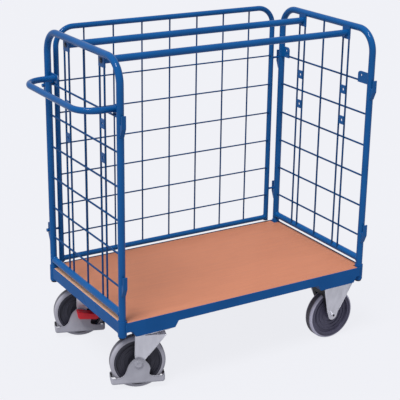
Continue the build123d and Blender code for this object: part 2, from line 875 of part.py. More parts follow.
# Foot guard: bell-shaped sides on the axle, with a skirt all round the foot of the wheel
skirt_top = guard_ground + guard_skirt
half_chord = (wheel_r**2 - (wheel_r - skirt_top) ** 2) ** 0.5
guard_back = half_chord + guard_back_room
guard_front = half_chord + guard_front_room
waist_z = skirt_top + guard_waist_rise
neck_z = wheel_r + guard_neck_rise
axle_plane = Plane(origin=(-swivel_trail, 0, 0), x_dir=(1, 0, 0), z_dir=(0, -1, 0))
with BuildPart() as foot_guard:
    with BuildSketch(axle_plane):
        with BuildLine():
            bell = Spline(
                (-guard_flare, skirt_top),
                (-guard_waist, waist_z),
                (-guard_neck, neck_z),
                (0, wheel_r + guard_rise),
                (guard_neck, neck_z),
                (guard_waist, waist_z),
                (guard_flare, skirt_top),
                tangents=((1, 0), (1, 0)),
            )
            Polyline(
                bell @ 0,
                (-guard_back, skirt_top),
                (-guard_back, guard_ground),
                (guard_front, guard_ground),
                (guard_front, skirt_top),
                bell @ 1,
            )
        guard_face = make_face()
        fillet(guard_face.vertices().group_by(Axis.Y)[0], guard_heel)
    extrude(amount=guard_outer, both=True)
    upright_edges = foot_guard.edges().filter_by(Axis.Z)
    fillet(upright_edges, guard_corner)
    inside_length = guard_back + guard_front - 2 * guard_sheet
    inside_middle = -swivel_trail + (guard_front - guard_back) / 2
    with BuildSketch(Plane.XY.offset(guard_ground)):
        with Locations((inside_middle, 0)):
            RectangleRounded(inside_length, 2 * fork_outer, guard_corner - guard_sheet)
    extrude(amount=wheel_d, mode=Mode.SUBTRACT)
    with BuildSketch(axle_plane):
        with Locations((0, wheel_r)):
            Circle(axle_d / 2 + slip)
    extrude(amount=guard_outer, both=True, mode=Mode.SUBTRACT)

# Black rubber ends on the guard's skirt
with BuildPart() as guard_bumpers:
    with BuildSketch(Plane.XY.offset(skirt_top)):
        with Locations(
            (-swivel_trail - guard_back + bumper_length / 2, 0),
            (-swivel_trail + guard_front - bumper_length / 2, 0),
        ):
            Rectangle(bumper_length, bumper_width)
    extrude(amount=bumper_height)
    fillet(guard_bumpers.faces().group_by(Axis.Z)[-1].edges(), bumper_round)

# Brake pedal: a wedge beside the guard that turns on the axle's long end and hides the axle's nut
pedal_start = guard_outer + pedal_gap
pedal_end = pedal_start + pedal_width
nut_pocket = guard_outer + pedal_nut_height + pedal_nut_room - pedal_start
with BuildPart() as brake_pedal:
    with BuildSketch(axle_plane.offset(-pedal_start)):
        with BuildLine():
            CenterArc((0, wheel_r), pedal_boss, 0, 360)
            CenterArc((-pedal_heel, wheel_r + pedal_heel_rise), pedal_edge, 0, 360)
            CenterArc((pedal_reach, wheel_r - pedal_droop), pedal_tip, 0, 360)
        make_hull()
    extrude(amount=-pedal_width)
    fillet(brake_pedal.faces().sort_by(Axis.Y)[-1].edges(), pedal_round)
    with BuildSketch(axle_plane.offset(-pedal_start)):
        with Locations((0, wheel_r)):
            Circle(axle_head_d / 2 + pedal_nut_room)
    extrude(amount=-nut_pocket, mode=Mode.SUBTRACT)
    with BuildSketch(axle_plane.offset(-pedal_start)):
        with Locations((0, wheel_r)):
            Circle(axle_d / 2 + running)
    extrude(amount=pedal_cover - pedal_width, mode=Mode.SUBTRACT)

# Axles: bolts with a nut, the swivel ones long enough to carry the pedal
fixed_axle_bolt = bolt(axle_head_d, axle_head_height, axle_d, 2 * fork_outer + axle_nut_height)
axle_nut = nut(axle_head_d, axle_nut_height, axle_d)
with BuildPart() as fixed_axles:
    for side in (-1, 1):
        y = side * caster_y
        add(fixed_axle_bolt.moved(facing((fixed_x, y + side * fork_outer, wheel_r), (0, -side, 0))))
        add(axle_nut.moved(facing((fixed_x, y - side * fork_outer, wheel_r), (0, -side, 0))))
save(fixed_axles.part, "fixed_axles")

swivel_shank = guard_outer + pedal_end - pedal_cover - rest_gap
swivel_axle_bolt = bolt(axle_head_d, axle_head_height, axle_d, swivel_shank)
swivel_axle_nut = nut(axle_head_d, pedal_nut_height, axle_d)
with BuildPart() as swivel_axle:
    add(swivel_axle_bolt.moved(facing((-swivel_trail, -guard_outer, wheel_r), (0, 1, 0))))
    add(swivel_axle_nut.moved(facing((-swivel_trail, guard_outer, wheel_r), (0, 1, 0))))

# Casters in their places: the pedals of both swivel casters are on their inner sides
for name, side in (("front", -1), ("rear", 1)):
    fixed_place = Location((fixed_x, side * caster_y, 0))
    save(fixed_fork.part.moved(fixed_place), f"{name}_fixed_fork")
    swivel_place = Location((swivel_x, side * caster_y, 0), (0, 0, swivel_turn))
    handed = {
        "swivel_fork": swivel_fork.part,
        "foot_guard": foot_guard.part,
        "guard_bumpers": guard_bumpers.part,
        "brake_pedal": brake_pedal.part,
        "swivel_axle": swivel_axle.part,
    }
    for piece_name, piece in handed.items():
        turned = mirror(piece, about=Plane.XZ) if side > 0 else piece
        save(turned.moved(swivel_place), f"{name}_{piece_name}")
    wheel_places = {
        "left": swivel_place * Location((-swivel_trail, 0, wheel_r)),
        "right": fixed_place * Location((0, 0, wheel_r)),
    }
    for end, place in wheel_places.items():
        save(tyre.part.moved(place), f"{name}_{end}_tyre")
        save(rim.part.moved(place), f"{name}_{end}_rim")
        save(bush.part.moved(place), f"{name}_{end}_bush")

swivel_heads = {
    "swivel_plates": swivel_plate.part,
    "swivel_races": swivel_race.part,
    "king_pins": king_pin.part,
}
for name, piece in swivel_heads.items():
    with BuildPart() as pair:
        add(piece.moved(Location((swivel_x, caster_y, 0))))
        add(piece.moved(Location((swivel_x, -caster_y, 0))))
    save(pair.part, name)

# Bolts of the four casters, screwed up into the beams
caster_bolt = bolt(
    caster_bolt_head, caster_bolt_head_height, caster_bolt_d, plate_thickness + beam_sheet + caster_bolt_end
)
with BuildPart() as caster_bolts:
    for x in (swivel_x, fixed_x):
        for y in (-caster_y, caster_y):
            for corner in GridLocations(plate_bolts_x, plate_bolts_y, 2, 2):
                place = Location((x, y, plate_bottom)) * corner
                add(caster_bolt.moved(place))
save(caster_bolts.part, "caster_bolts")
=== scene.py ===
import json
import math

import bpy
from mathutils import Matrix, Vector


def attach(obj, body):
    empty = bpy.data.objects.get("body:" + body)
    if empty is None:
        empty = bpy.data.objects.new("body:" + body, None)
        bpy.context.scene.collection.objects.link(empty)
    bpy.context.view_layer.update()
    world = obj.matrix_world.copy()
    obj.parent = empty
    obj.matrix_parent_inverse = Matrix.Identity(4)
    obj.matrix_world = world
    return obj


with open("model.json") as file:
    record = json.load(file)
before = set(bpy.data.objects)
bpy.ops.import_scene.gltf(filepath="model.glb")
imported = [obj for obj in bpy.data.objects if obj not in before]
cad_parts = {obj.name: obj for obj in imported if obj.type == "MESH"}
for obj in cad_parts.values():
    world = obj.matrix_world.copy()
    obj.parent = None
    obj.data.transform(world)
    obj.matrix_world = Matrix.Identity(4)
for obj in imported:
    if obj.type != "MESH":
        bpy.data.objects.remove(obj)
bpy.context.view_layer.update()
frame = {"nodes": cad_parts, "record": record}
nodes = frame["nodes"]
record = frame["record"]
joints = {joint["name"]: joint for joint in record["behaviour"]["joints"]}

# Camera, fitted to the edges of the photograph, with angles in radians
IMAGE_SIDE = 400.0
SENSOR_MM = 36.0
FOCAL_PIXELS = 1140.18
CAMERA_PLACE = (-2.12839, -3.43224, 1.99137)
CAMERA_YAW = 0.5473
CAMERA_PITCH = 0.3405
CAMERA_ROLL = 0.0145

# Light and background
KEY_DIRECTION = (0.46, 0.27, -1.0)
KEY_STRENGTH = 2.65
KEY_SPREAD_DEGREES = 24.0
WORLD_STRENGTH = 0.45
GLOSSY_SHARE = 0.40
SURROUND = (0.871, 0.879, 0.922)
FLOOR_SIDE = 80.0
FLOOR_TONE = (0.500, 0.500, 0.530)
FLOOR_ROUGHNESS = 0.9
FLOOR_GLOW = 0.90
BACKDROP = (0.907, 0.915, 0.960)

# Colours as linear light, each as a darker and a paler tone
TUBE_BLUE = (0.0050, 0.084, 0.279), (0.0065, 0.103, 0.334)
SHEET_BLUE = (0.0115, 0.087, 0.281), (0.0140, 0.106, 0.336)
WIRE_BLUE = (0.0070, 0.052, 0.166), (0.0090, 0.066, 0.206)
BOARD_TAN = (0.568, 0.213, 0.119), (0.616, 0.240, 0.136)
BOARD_FLECK = (0.460, 0.160, 0.088), BOARD_TAN[0]
# Paler board tones, painted light on the end by the handle
BOARD_PAINTED_LIGHT = (0.740, 0.430, 0.270), (0.800, 0.500, 0.330)
ZINC = (0.610, 0.610, 0.660), (0.760, 0.760, 0.815)
# Paler copy of ZINC for the pressed sheet, painted light
LIT_ZINC = (0.690, 0.690, 0.745), (0.850, 0.850, 0.905)
DULL_STEEL = (0.040, 0.052, 0.085), (0.070, 0.085, 0.125)
# Painted shade on the fixed forks' inner faces and end walls
FORK_PAINTED_SHADE = (0.010, 0.010, 0.013), (0.030, 0.030, 0.036)
GUARD_GREY = (0.395, 0.395, 0.450), (0.460, 0.460, 0.520)
TYRE_GREY = (0.365, 0.360, 0.415), (0.425, 0.420, 0.480)
# Paler tyre grey on the fixed wheels' shoulders, a painted highlight
LIT_SHOULDER_GREY = (0.520, 0.510, 0.630), (0.595, 0.585, 0.710)
TREAD_GREY = (0.110, 0.108, 0.130), (0.150, 0.148, 0.172)
RIM_DARK = (0.030, 0.030, 0.045), (0.051, 0.050, 0.072)
DISC_DARK = (0.068, 0.065, 0.106), (0.107, 0.102, 0.160)
SIDE_DARK = (0.060, 0.056, 0.088), DISC_DARK[1]
PEDAL_RED = (0.760, 0.009, 0.023), (0.900, 0.016, 0.036)
PLASTIC_BLACK = (0.008, 0.008, 0.010), (0.018, 0.018, 0.022)

# Places in the materials, in metres
# Where the painted light on the board's end by the handle begins
PAINTED_LIGHT_BOARD_X = (-0.502, -0.492)
TREAD_EDGE = (0.0085, 0.0125)
FIXED_SIDE_EDGE = (0.0910, 0.0930)
RIM_HUB_TO_BAND = (0.030, 0.085)

# Spans of a noise or a share over which the materials change
TONE_SPAN = (0.3, 0.7)
WHOLE_SPAN = (0.0, 1.0)
GRAIN_SPAN = (0.32, 0.68)
FLECK_SPAN = (0.60, 0.74)
END_FACE_SPAN = (0.80, 0.95)
INNER_FACE_SPAN = (-0.012, -0.004)

# Strengths and stretches in the materials
MOST_FLECKS = 0.35
# Largest share of the painted light on the board's end by the handle
MOST_PAINTED_LIGHT = 0.85
CLOUD_SHARES = (0.75, 0.35)
SHEET_METAL = 0.75
BUMP_DEPTH = 0.0004
FINE_BUMP_DEPTH = 0.0003
GRAIN_STRETCH = (1.0, 0.07, 0.07)
FLECK_STRETCH = (1.0, 0.11, 0.11)
SHEET_STRETCH = (1.0, 1.0, 4.0)

# Defaults of the materials
NO_STRETCH = (1.0, 1.0, 1.0)
PLAIN_SPECULAR = 0.5

# Sockets of a Mix node that mixes colours, and of a Mix Shader node
MIX_FACTOR = 0
MIX_FIRST = 6
MIX_SECOND = 7
MIX_RESULT = 2
SHADER_FIRST = 1
SHADER_SECOND = 2

# Sizes of the tube frame, in metres
POST_X = 0.5125
POST_Y = 0.2820
TUBE_R = 0.0125
CROSS_Z = 0.3230
SOCKET_R = 0.0155
RAIL_TOP = 0.2930
END_RAIL_X = 0.5240
END_RAIL_BOTTOM = 0.2500
LONG_RAIL_END_X = 0.5050
LONG_RAIL_Y = 0.2975
LONG_RAIL_BOTTOM = 0.2580
HOOP_TOP = 1.2030

# Wire grids of the end walls and of the back wall
UPRIGHT_X = 0.5035
UPRIGHT_END_RISE = 0.0075
LEVEL_X = 0.51055
PAIR_Y = 0.1370
PAIR_HALF = 0.0175
WIRE_R = 0.0035
LEVEL_TOP = 1.0125
LEVEL_PITCH = 0.1192
LEVEL_COUNT = 6
BACK_X = 0.4720
BACK_Y = 0.2990
BACK_R = 0.0100
BACK_TUBE_Z = 0.3120
BACK_LEVEL_END_X = 0.4645
BACK_LEVEL_Y = 0.2932
BACK_LEVEL_TOP = 1.0090
BACK_LEVEL_PITCH = 0.1189
BACK_UPRIGHT_PITCH = 0.1198
BACK_COLUMNS = range(-3, 4)
BACK_WIRE_R = 0.0029

# Lugs, hooks and pins
LUG_OUTER_X = 0.5070
LUG_WELD_Y = 0.2702
LUG_HEIGHTS = (1.0075, 1.0495)
HOOK_HALF = 0.0080
HOOK_WELD_Y = 0.2922
HOOK_WELD_REACH = (-0.0440, -0.0060)
PIN_HEIGHTS = (0.4380, 0.9980)
PIN_ROOT_X = 0.4814
PIN_WELD_R = 0.0045
PIN_WELD_STEPS = 32

# Bolts, and washers by radius, bore and height
RAIL_BOLT = (0.5065, 0.1370, 1.1740)
HANDLE_BOLT = (0.5020, 0.2380, 1.0355)
PLATE_BOTTOM = 0.2300
PLATE_BOLTS = (0.0470, 0.0390)
RAIL_WASHER = (0.0096, 0.0042, 0.0014)
HANDLE_WASHER = (0.0115, 0.0052, 0.0016)
CASTER_WASHER = (0.0104, 0.0052, 0.0016)
AXLE_WASHER = (0.0120, 0.0062, 0.0016)
WASHER_BEVEL = 0.3

# Casters, with turned profiles as pairs of radius and height
FORK_OUTER = 0.0275
GUARD_OUTER = 0.0305
AXLE_HEAD = 0.0060
# Black disc on each fixed axle's head, painted shade for a recess
AXLE_SHADE_DISC = ((0.0050, -0.0002), (0.0050, 0.0003), (0.0036, 0.0001), (0.0005, 0.0001))
AXLE_COVER = (
    (0.0185, 0.0), (0.0185, 0.0012), (0.0175, 0.0018), (0.0150, 0.0018), (0.0140, 0.0030),
    (0.0125, 0.0058), (0.0110, 0.0066), (0.0060, 0.0066), (0.0052, 0.0061),
)
AXLE_COVER_SIDES = 40
GUARD_RIM_R = 0.0011
SKIRT_TOP = 0.0470
AXLE_HOLE_ROOM = 0.015
SWIVEL_SLOPE = 14.5 / 86.0
FIXED_SLOPE = 26.5 / 116.0
LIP_R = 0.0018
LIP_SIDES = 10
LIP_TIP = 0.4
LIP_BEVEL = 0.8
SHORTEST_LIP = 0.02
STEEP_SHARE = 0.5

# Tolerances for finding faces of the CAD meshes
SAME_PLANE = 1e-5
SAME_HEIGHT = 1e-4
SAME_DIRECTION = 0.9995

# Weld beads
BEAD_R = 0.0022
THIN_BEAD_R = 0.0015
RIPPLE_LENGTH = 0.0030
RIPPLE_SHARE = 0.14
STEPS_PER_RIPPLE = 5
FEWEST_STEPS = 4
SADDLE_LIFT = 0.0006
SADDLE_STEPS = 64

# Weld nuggets, by radius and half height in radii of the wire
FLAT_NUGGET = (1.35, 0.7)
FOOT_NUGGET = (1.3, 1.0)
TALL_NUGGET = (1.35, 1.0)
CROSSING_NUGGET = (0.95, 0.5)
NUGGET_CUT = 0.08

# Directions
BOTH = (-1, 1)
OUTWARD = {"front": -1, "rear": 1}
ALONG_X = (1, 0, 0)
ALONG_Y = (0, 1, 0)
ALONG_Z = (0, 0, 1)


# Nodes of the materials
def new_material(name):
    """Node material with its tree and its shader at hand."""
    material = bpy.data.materials.new(name)
    material.use_nodes = True
    tree = material.node_tree
    return material, tree, tree.nodes["Principled BSDF"]


def coordinates(tree, kind="Object"):
    """Coordinates of a kind. The object's own are the frame's, in metres."""
    return tree.nodes.new("ShaderNodeTexCoord").outputs[kind]


def moved(tree, place, scale=NO_STRETCH, origin=(0.0, 0.0, 0.0), turn=0.0):
    """Coordinates about an origin, turned about Z and stretched."""
    mapping = tree.nodes.new("ShaderNodeMapping")
    mapping.vector_type = "TEXTURE"
    mapping.inputs["Location"].default_value = origin
    mapping.inputs["Rotation"].default_value = (0.0, 0.0, turn)
    mapping.inputs["Scale"].default_value = scale
    tree.links.new(place, mapping.inputs["Vector"])
    return mapping.outputs["Vector"]


def axes(tree, vector):
    """The X, Y and Z of a vector."""
    node = tree.nodes.new("ShaderNodeSeparateXYZ")
    tree.links.new(vector, node.inputs["Vector"])
    return node.outputs


def maths(tree, operation, *values):
    """Result of an operation on sockets or plain numbers."""
    node = tree.nodes.new("ShaderNodeMath")
    node.operation = operation
    for socket, value in zip(node.inputs, values):
        if isinstance(value, float):
            socket.default_value = value
        else:
            tree.links.new(value, socket)
    return node.outputs["Value"]


def noise(tree, place, scale, detail=3.0):
    """Noise of the given scale per metre."""
    texture = tree.nodes.new("ShaderNodeTexNoise")
    texture.inputs["Scale"].default_value = scale
    texture.inputs["Detail"].default_value = detail
    tree.links.new(place, texture.inputs["Vector"])
    return texture.outputs["Fac"]


def turned_rings(tree, local, scale, distortion):
    """Rings about a wheel's axle."""
    texture = tree.nodes.new("ShaderNodeTexWave")
    texture.wave_type = "RINGS"
    texture.rings_direction = "Y"
    texture.inputs["Scale"].default_value = scale
    texture.inputs["Distortion"].default_value = distortion
    tree.links.new(local, texture.inputs["Vector"])
    return texture.outputs["Fac"]


def two_tone(tree, factor, tones, span=TONE_SPAN):
    """Colour that goes from one tone to the other over the span of the factor."""
    node = tree.nodes.new("ShaderNodeValToRGB")
    for index, (at, colour) in enumerate(zip(span, tones)):
        stop = node.color_ramp.elements[index]
        stop.position = at
        stop.color = (*colour, 1.0)
    tree.links.new(factor, node.inputs["Fac"])
    return node.outputs["Color"]


def spread(tree, factor, values, span=TONE_SPAN):
    """Number that goes from one value to the other over the span of the factor."""
    node = tree.nodes.new("ShaderNodeMapRange")
    node.inputs["From Min"].default_value, node.inputs["From Max"].default_value = span
    node.inputs["To Min"].default_value, node.inputs["To Max"].default_value = values
    tree.links.new(factor, node.inputs["Value"])
    return node.outputs["Result"]


def blend(tree, factor, first, second):
    """Mixes two colours by a factor that varies over the surface."""
    node = tree.nodes.new("ShaderNodeMix")
    node.data_type = "RGBA"
    tree.links.new(factor, node.inputs[MIX_FACTOR])
    tree.links.new(first, node.inputs[MIX_FIRST])
    tree.links.new(second, node.inputs[MIX_SECOND])
    return node.outputs[MIX_RESULT]


def dress(
    tree, shader, colour, roughness, height, bump, depth=BUMP_DEPTH, specular=PLAIN_SPECULAR
):
    """Joins a colour, a roughness and a relief to a shader and sets its specular level."""
    relief = tree.nodes.new("ShaderNodeBump")
    relief.inputs["Strength"].default_value = bump
    relief.inputs["Distance"].default_value = depth
    tree.links.new(height, relief.inputs["Height"])
    tree.links.new(relief.outputs["Normal"], shader.inputs["Normal"])
    tree.links.new(colour, shader.inputs["Base Color"])
    tree.links.new(roughness, shader.inputs["Roughness"])
    shader.inputs["Specular IOR Level"].default_value = specular


# Materials
def mottled(
    name, tones, patch, grain, rough, bump, metal=0.0, specular=PLAIN_SPECULAR, stretch=NO_STRETCH
):
    """Material with soft patches of two tones, uneven gloss and a fine grain."""
    material, tree, shader = new_material(name)
    place = coordinates(tree)
    patches = noise(tree, moved(tree, place, stretch), patch)
    colour = two_tone(tree, patches, tones)
    fine = noise(tree, place, grain, detail=2.0)
    dress(tree, shader, colour, spread(tree, patches, rough), fine, bump, specular=specular)
    shader.inputs["Metallic"].default_value = metal
    return material


def board_material():
    """Beech-coloured board with long grain, flecks along it and painted light on its pale end by
    the handle.
    """
    material, tree, shader = new_material("beech_board")
    place = coordinates(tree)
    grain = noise(tree, moved(tree, place, GRAIN_STRETCH), scale=9.0, detail=6.0)
    flecks = noise(tree, moved(tree, place, FLECK_STRETCH), scale=60.0, detail=1.0)
    cloud = noise(tree, place, scale=3.0, detail=2.0)
    plain = two_tone(tree, grain, BOARD_TAN, GRAIN_SPAN)
    marks = two_tone(tree, cloud, BOARD_FLECK)
    lit_grain = two_tone(tree, grain, BOARD_PAINTED_LIGHT, GRAIN_SPAN)
    marked = spread(tree, flecks, (0.0, MOST_FLECKS), FLECK_SPAN)
    # Painted light: the board grows paler towards its end by the handle
    painted_light = spread(tree, axes(tree, place)["X"], (MOST_PAINTED_LIGHT, 0.0), PAINTED_LIGHT_BOARD_X)
    colour = blend(tree, painted_light, blend(tree, marked, plain, marks), lit_grain)
    roughness = spread(tree, grain, (0.46, 0.60))
    dress(tree, shader, colour, roughness, grain, bump=0.06, depth=FINE_BUMP_DEPTH, specular=0.3)
    return material


def wheel_place(tree, joint):
    """Coordinates about a wheel's centre, with Y along its axle."""
    axis = joint["axis"]
    turn = math.atan2(-axis[0], axis[1])
    return moved(tree, coordinates(tree), origin=joint["pos_m"], turn=turn)


def axle_distance(tree, local):
    """Distance from the axle, in a wheel's own coordinates."""
    parts = axes(tree, local)
    flat = tree.nodes.new("ShaderNodeCombineXYZ")
    tree.links.new(parts["X"], flat.inputs["X"])
    tree.links.new(parts["Z"], flat.inputs["Z"])
    length = tree.nodes.new("ShaderNodeVectorMath")
    length.operation = "LENGTH"
    tree.links.new(flat.outputs["Vector"], length.inputs[0])
    return length.outputs["Value"]


def tyre_material(name, joint, fixed):
    """Grey rubber, dark tread, fine rings. A fixed wheel's is dark up to its shoulder, painted as a
    highlight.
    """
    material, tree, shader = new_material(name)
    local = wheel_place(tree, joint)
    patches = noise(tree, local, scale=28.0, detail=4.0)
    off_middle = maths(tree, "ABSOLUTE", axes(tree, local)["Y"])
    past_tread = spread(tree, off_middle, (0.0, 1.0), TREAD_EDGE)
    tread = two_tone(tree, patches, TREAD_GREY)
    # A fixed wheel's shoulder takes the paler grey, a painted highlight
    grey = two_tone(tree, patches, LIT_SHOULDER_GREY if fixed else TYRE_GREY)
    colour = blend(tree, past_tread, tread, grey)
    if fixed:
        past_side = spread(tree, axle_distance(tree, local), (0.0, 1.0), FIXED_SIDE_EDGE)
        colour = blend(tree, past_side, two_tone(tree, patches, SIDE_DARK), colour)
    roughness = spread(tree, patches, (0.52, 0.66))
    rings = turned_rings(tree, local, scale=120.0, distortion=0.4)
    dress(tree, shader, colour, roughness, rings, bump=0.10, depth=FINE_BUMP_DEPTH, specular=0.3)
    return material


def rim_material(name, joint, tones):
    """Dark moulded plastic with faint turned rings."""
    material, tree, shader = new_material(name)
    local = wheel_place(tree, joint)
    patches = noise(tree, local, scale=30.0)
    rings = turned_rings(tree, local, scale=45.0, distortion=0.5)
    turned = two_tone(tree, rings, tones, WHOLE_SPAN)
    cloudy = two_tone(tree, patches, tones)
    share = spread(tree, axle_distance(tree, local), CLOUD_SHARES, RIM_HUB_TO_BAND)
    colour = blend(tree, share, turned, cloudy)
    roughness = spread(tree, patches, (0.45, 0.58))
    dress(tree, shader, colour, roughness, rings, bump=0.08, depth=FINE_BUMP_DEPTH, specular=0.35)
    return material


def fixed_fork_material(name, joint):
    """Zinc-plated sheet, with painted shade on the faces towards the wheel and on the open ends."""
    material, tree, shader = new_material(name)
    place = coordinates(tree)
    local = axes(tree, moved(tree, place, origin=joint["pos_m"]))
    normal = axes(tree, coordinates(tree, "Normal"))
    # Painted shade: dark on the faces towards the wheel and on the end walls
    outward = maths(tree, "MULTIPLY", local["Y"], normal["Y"])
    inner = spread(tree, outward, (1.0, 0.0), INNER_FACE_SPAN)
    endways = maths(tree, "ABSOLUTE", normal["X"])
    painted_shade = maths(tree, "MAXIMUM", inner, spread(tree, endways, (0.0, 1.0), END_FACE_SPAN))
    patches = noise(tree, moved(tree, place, SHEET_STRETCH), scale=40.0)
    colour = blend(tree, painted_shade, two_tone(tree, patches, ZINC), two_tone(tree, patches, FORK_PAINTED_SHADE))
    fine = noise(tree, place, scale=700.0, detail=2.0)
    dress(tree, shader, colour, spread(tree, patches, (0.40, 0.52)), fine, bump=0.05)
    metal = spread(tree, painted_shade, (SHEET_METAL, 0.0), WHOLE_SPAN)
    tree.links.new(metal, shader.inputs["Metallic"])
    return material


FINISHES = {
    "blue_enamel": dict(
        tones=TUBE_BLUE, patch=7.0, grain=420.0, rough=(0.08, 0.14), bump=0.03, specular=0.14
    ),
    "blue_sheet": dict(
        tones=SHEET_BLUE, patch=7.0, grain=420.0, rough=(0.22, 0.32), bump=0.06, specular=0.035
    ),
    "blue_wire": dict(
        tones=WIRE_BLUE, patch=12.0, grain=500.0, rough=(0.18, 0.28), bump=0.05, specular=0.05
    ),
    "black_plastic": dict(
        tones=PLASTIC_BLACK, patch=30.0, grain=900.0, rough=(0.50, 0.62), bump=0.10, specular=0.3
    ),
    "zinc_bolts": dict(
        tones=ZINC, patch=90.0, grain=900.0, rough=(0.28, 0.42), bump=0.05, metal=0.9
    ),
    "dull_bolts": dict(
        tones=DULL_STEEL, patch=90.0, grain=900.0, rough=(0.35, 0.48), bump=0.05, metal=0.5
    ),
    "zinc_sheet": dict(
        tones=LIT_ZINC, patch=40.0, grain=700.0, rough=(0.40, 0.52), bump=0.05, metal=SHEET_METAL,
        stretch=SHEET_STRETCH,
    ),
    "guard_grey": dict(
        tones=GUARD_GREY, patch=25.0, grain=900.0, rough=(0.46, 0.58), bump=0.10, specular=0.35
    ),
    "pedal_red": dict(
        tones=PEDAL_RED, patch=30.0, grain=800.0, rough=(0.30, 0.42), bump=0.06, specular=0.45
    ),
    "bush_steel": dict(
        tones=ZINC, patch=120.0, grain=900.0, rough=(0.25, 0.35), bump=0.04, metal=1.0
    ),
}
MATERIALS = {name: mottled(name, **finish) for name, finish in FINISHES.items()}
MATERIALS["board"] = board_material()

# CAD nodes whose finish differs from that of their slot
OTHER_FINISH = {
    "front_rail": "blue_sheet",
    "rear_rail": "blue_sheet",
    "left_end_rail": "blue_sheet",
    "right_end_rail": "blue_sheet",
    "left_caster_beam": "blue_sheet",
    "right_caster_beam": "blue_sheet",
    "deck_bearers": "blue_sheet",
    "corner_sockets": "blue_sheet",
    "left_grid": "blue_wire",
    "right_grid": "blue_wire",
    "back_grid": "blue_wire",
    "rail_bolts": "dull_bolts",
}


def node_material(node, slot):
    """Material of a CAD node, made for its place where it belongs to a wheel or a fixed fork."""
    if slot in ("tyre_grey", "rim_dark"):
        wheel = node.rsplit("_", 1)[0]
        spin = joints[f"{wheel}_wheel_spin"]
        fixed = wheel.endswith("right")
        if slot == "tyre_grey":
            return tyre_material(node, spin, fixed)
        return rim_material(node, spin, DISC_DARK if fixed else RIM_DARK)
    if node.endswith("_fixed_fork"):
        name = node.split("_")[0]
        return fixed_fork_material(node, joints[f"{name}_right_wheel_spin"])
    return MATERIALS[OTHER_FINISH.get(node, slot)]


for part in record["subparts"]:
    mesh = nodes[part["node"]].data
    mesh.materials.clear()
    mesh.materials.append(node_material(part["node"], part["material_slot"]))


# Small detail, built as meshes that ride on the bodies
def circle(centre, across, beside, radius, count):
    """Points round a centre, in the plane of two directions."""
    points = []
    for step in range(count):
        angle = 2.0 * math.pi * step / count
        points.append(centre + radius * (math.cos(angle) * across + math.sin(angle) * beside))
    return points


def saddle(centre, along, across, radius):
    """Line round the end of a tube that is coped to an upright post of the same radius."""
    points = []
    for step in range(SADDLE_STEPS):
        angle = 2.0 * math.pi * step / SADDLE_STEPS
        side = radius * math.cos(angle)
        inset = math.sqrt((radius + SADDLE_LIFT) ** 2 - side**2)
        point = Vector(centre) + inset * Vector(along) + side * Vector(across)
        points.append(point + radius * math.sin(angle) * Vector(ALONG_Z))
    return points


class Shape:
    """Vertices and faces of one piece, gathered run by run."""

    def __init__(self):
        self.vertices = []
        self.faces = []

    def add_rings(self, rings, closed):
        """Skin over rings of as many points each, closed into a loop or capped at both ends."""
        count = len(rings[0])
        first = len(self.vertices)
        for ring in rings:
            self.vertices.extend(ring)
        runs = len(rings) if closed else len(rings) - 1
        for row in range(runs):
            here = first + row * count
            there = first + (row + 1) % len(rings) * count
            for step in range(count):
                turn = (step + 1) % count
                self.faces.append((here + step, here + turn, there + turn, there + step))
        if not closed:
            last = first + (len(rings) - 1) * count
            self.faces.append(tuple(range(first + count - 1, first - 1, -1)))
            self.faces.append(tuple(range(last, last + count)))

    def revolve(self, centre, axis, profile, sides=24):
        """Turned form about an axis, from pairs of radius and height along it."""
        axis = Vector(axis).normalized()
        across = axis.orthogonal().normalized()
        beside = axis.cross(across)
        rings = []
        for radius, height in profile:
            rings.append(circle(Vector(centre) + height * axis, across, beside, radius, sides))
        self.add_rings(rings, closed=False)

    def nugget(self, centre, axis, wire_r, shares, sides=10, rows=6):
        """Small rounded lump of weld on a wire."""
        radius, half_height = (share * wire_r for share in shares)
        profile = []
        for row in range(rows + 1):
            angle = math.pi * (NUGGET_CUT + (1.0 - 2.0 * NUGGET_CUT) * row / rows)
            profile.append((radius * math.sin(angle), -half_height * math.cos(angle)))
        self.revolve(centre, axis, profile, sides)

    def bead(self, points, radius, closed=False, sides=8):
        """Bead along a line of points, rippled along its length."""
        points = [Vector(point) for point in points]
        rings = []
        travelled = 0.0
        across = None
        for index, point in enumerate(points):
            before = points[index - 1] if closed or index else point
            last = index + 1 == len(points)
            after = point if last and not closed else points[(index + 1) % len(points)]
            along = (after - before).normalized()
            if across is None:
                across = along.orthogonal()
            across = (across - across.dot(along) * along).normalized()
            travelled += (point - points[index - 1]).length if index else 0.0
            ripple = 1.0 + RIPPLE_SHARE * math.sin(2.0 * math.pi * travelled / RIPPLE_LENGTH)
            rings.append(circle(point, across, along.cross(across), ripple * radius, sides))
        self.add_rings(rings, closed)

    def upright_bead(self, x, y, heights, radius):
        """Straight upright bead between two heights."""
        low, high = heights
        count = max(FEWEST_STEPS, round((high - low) / RIPPLE_LENGTH * STEPS_PER_RIPPLE))
        points = [(x, y, low + (high - low) * step / count) for step in range(count + 1)]
        self.bead(points, radius)

    def finish(self, name, body, slot, material=None):
        """Makes the piece, with its finish, on a body."""
        mesh = bpy.data.meshes.new(name)
        mesh.from_pydata(self.vertices, [], self.faces)
        mesh.shade_smooth()
        mesh.materials.append(material or MATERIALS[slot])
        piece = bpy.data.objects.new(name, mesh)
        bpy.context.scene.collection.objects.link(piece)
        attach(piece, body)


